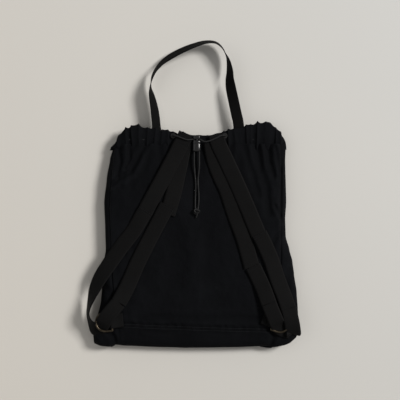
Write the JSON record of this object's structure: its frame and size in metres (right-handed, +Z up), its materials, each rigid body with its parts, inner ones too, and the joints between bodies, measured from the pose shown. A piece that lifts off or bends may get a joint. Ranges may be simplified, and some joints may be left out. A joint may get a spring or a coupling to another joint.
{
  "type": "drawstring backpack",
  "caption": "Black cotton drawstring backpack lying flat, with gathered channel, webbing top handle, looped shoulder straps on D rings and a cord lock.",
  "frame": {"origin": "on the underside of the front panel, at the middle of the body between the bottom edge and the top of the channel", "axes": "+Z up off the surface that the bag lies on, +Y towards the mouth and the handle, +X to the right seen from above"},
  "size_m": [0.4138, 0.5917, 0.0423],
  "materials": {
    "cloth": "matt cotton canvas",
    "webbing": "woven webbing, slightly lustrous",
    "cord": "braided cord",
    "plastic": "glossy black plastic",
    "ring_metal": "darkened brass",
    "eyelet_metal": "black enamel",
    "spring_steel": "bright spring wire"
  },
  "bodies": {
    "bag": {"front_panel": "cloth", "back_panel": "cloth", "gusset_left": "cloth", "gusset_right": "cloth", "base_panel": "cloth", "channel_front": "cloth", "channel_back": "cloth", "eyelet_left": "eyelet_metal", "eyelet_right": "eyelet_metal", "handle_end_left": "webbing", "handle_end_right": "webbing", "strap_end_left": "webbing", "strap_end_right": "webbing", "ring_tab_left": "webbing", "ring_tab_right": "webbing", "drawcord": "cord", "cord_tail_left": "cord", "cord_tail_right": "cord", "cord_knot": "cord"},
    "handle": {"handle": "webbing"},
    "strap_left": {"strap_left_outer": "webbing", "strap_left_inner": "webbing"},
    "strap_right": {"strap_right_outer": "webbing", "strap_right_inner": "webbing"},
    "ring_left": {"ring_left": "ring_metal", "strap_loop_left": "webbing"},
    "ring_right": {"ring_right": "ring_metal", "strap_loop_right": "webbing"},
    "lock": {"lock_body": "plastic", "lock_spring": "spring_steel"},
    "button": {"lock_button": "plastic"}
  },
  "joints": [
    {"name": "handle_fold", "type": "hinge", "parent": "bag", "child": "handle", "pos_m": [0, 0.20795, 0.0213], "axis": [1, 0, 0], "range_deg": [0, 90]},
    {"name": "strap_left_lift", "type": "hinge", "parent": "bag", "child": "strap_left", "pos_m": [0.0125, 0.1843, 0.0303], "axis": [0.4093, 0.9124, 0], "range_deg": [0, 75]},
    {"name": "strap_right_lift", "type": "hinge", "parent": "bag", "child": "strap_right", "pos_m": [0.003, 0.1843, 0.0303], "axis": [0.3345, -0.9424, 0], "range_deg": [0, 75]},
    {"name": "ring_left_flip", "type": "hinge", "parent": "bag", "child": "ring_left", "pos_m": [-0.162, -0.154, 0.0342], "axis": [-0.1045, 0.9945, 0], "range_deg": [0, 10]},
    {"name": "ring_right_flip", "type": "hinge", "parent": "bag", "child": "ring_right", "pos_m": [0.146, -0.153, 0.0342], "axis": [-0.3256, -0.9455, 0], "range_deg": [0, 10]},
    {"name": "lock_slide", "type": "slide", "parent": "bag", "child": "lock", "axis": [0, -1, 0], "range_m": [0, 0.02]},
    {"name": "button_press", "type": "slide", "parent": "lock", "child": "button", "axis": [0, -1, 0], "range_m": [0, 0.002], "stiffness_N_per_m": 300, "springref_m": -0.002}
  ]
}
